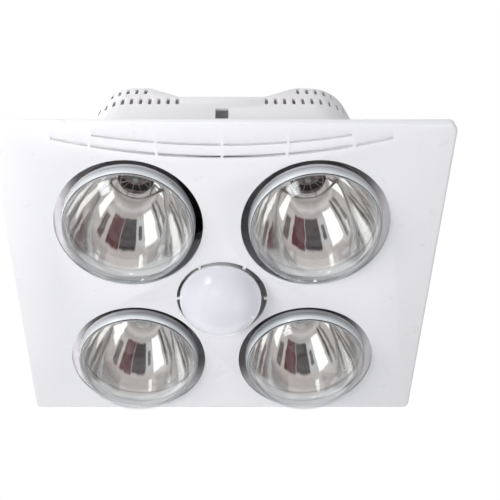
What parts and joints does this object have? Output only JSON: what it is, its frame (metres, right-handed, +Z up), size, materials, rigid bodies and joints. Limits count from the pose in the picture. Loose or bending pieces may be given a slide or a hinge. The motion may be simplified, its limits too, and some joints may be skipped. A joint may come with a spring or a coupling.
{
  "type": "bathroom heater fan",
  "caption": "Recessed ceiling unit with reflector heat lamps, an opal light, an air-slot fascia, a vented housing and a centrifugal exhaust fan with a flap in its duct spigot.",
  "frame": {"origin": "middle of the four lamps, in the plane of the ceiling that the flange seats against", "axes": "+Z up into the ceiling, +Y towards the duct spigot, +X to the right seen from the slotted edge"},
  "size_m": [0.408, 0.3768, 0.2783],
  "materials": {
    "fascia_white": "smooth white moulding, faintly cool",
    "housing_white": "fine matt white moulding",
    "zinc_sheet": "zinc plated pressed sheet",
    "lamp_glass": "clear dome, silvered bowl",
    "plated_cap": "nickel plated brass",
    "filament_wire": "drawn wire",
    "glazed_ceramic": "white glaze over ceramic",
    "opal": "opal, satin",
    "light_white": "white moulding",
    "fan_grey": "grey moulding",
    "impeller_black": "black moulding",
    "laminations": "stacked steel sheet",
    "copper_wire": "enamelled copper wire",
    "bright_steel": "ground steel"
  },
  "bodies": {
    "unit": {"fascia": "fascia_white", "housing": "housing_white", "lamp_chassis": "zinc_sheet", "heat_lamp_glass_front_left": "lamp_glass", "heat_lamp_glass_front_right": "lamp_glass", "heat_lamp_glass_rear_left": "lamp_glass", "heat_lamp_glass_rear_right": "lamp_glass", "heat_lamp_cap_front_left": "plated_cap", "heat_lamp_cap_front_right": "plated_cap", "heat_lamp_cap_rear_left": "plated_cap", "heat_lamp_cap_rear_right": "plated_cap", "heat_lamp_filament_front_left": "filament_wire", "heat_lamp_filament_front_right": "filament_wire", "heat_lamp_filament_rear_left": "filament_wire", "heat_lamp_filament_rear_right": "filament_wire", "lampholder_front_left": "glazed_ceramic", "lampholder_front_right": "glazed_ceramic", "lampholder_rear_left": "glazed_ceramic", "lampholder_rear_right": "glazed_ceramic", "light_diffuser": "opal", "light_body": "light_white", "light_cap": "plated_cap", "light_holder": "glazed_ceramic", "light_strap": "zinc_sheet", "fan_scroll": "fan_grey", "scroll_cover": "fan_grey", "stator_core": "laminations", "stator_winding": "copper_wire", "motor_lower_shell": "zinc_sheet", "motor_upper_shell": "zinc_sheet", "motor_lower_bearing": "bright_steel", "motor_upper_bearing": "bright_steel", "duct_spigot": "fan_grey", "flap_pin": "bright_steel", "terminal_block": "impeller_black", "terminal_cover": "light_white", "cable_gland": "impeller_black", "run_capacitor": "light_white"},
    "fan_rotor": {"impeller": "impeller_black", "motor_shaft": "bright_steel", "rotor_core": "laminations"},
    "flap": {"backdraft_flap": "impeller_black"}
  },
  "joints": [
    {"name": "fan_spin", "type": "hinge", "parent": "unit", "child": "fan_rotor", "pos_m": [-0.053, -0.008, 0.17], "axis": [0, 0, 1], "continuous": true},
    {"name": "flap_swing", "type": "hinge", "parent": "unit", "child": "flap", "pos_m": [0, 0.1098, 0.1927], "axis": [1, 0, 0], "range_deg": [0, 80]}
  ]
}
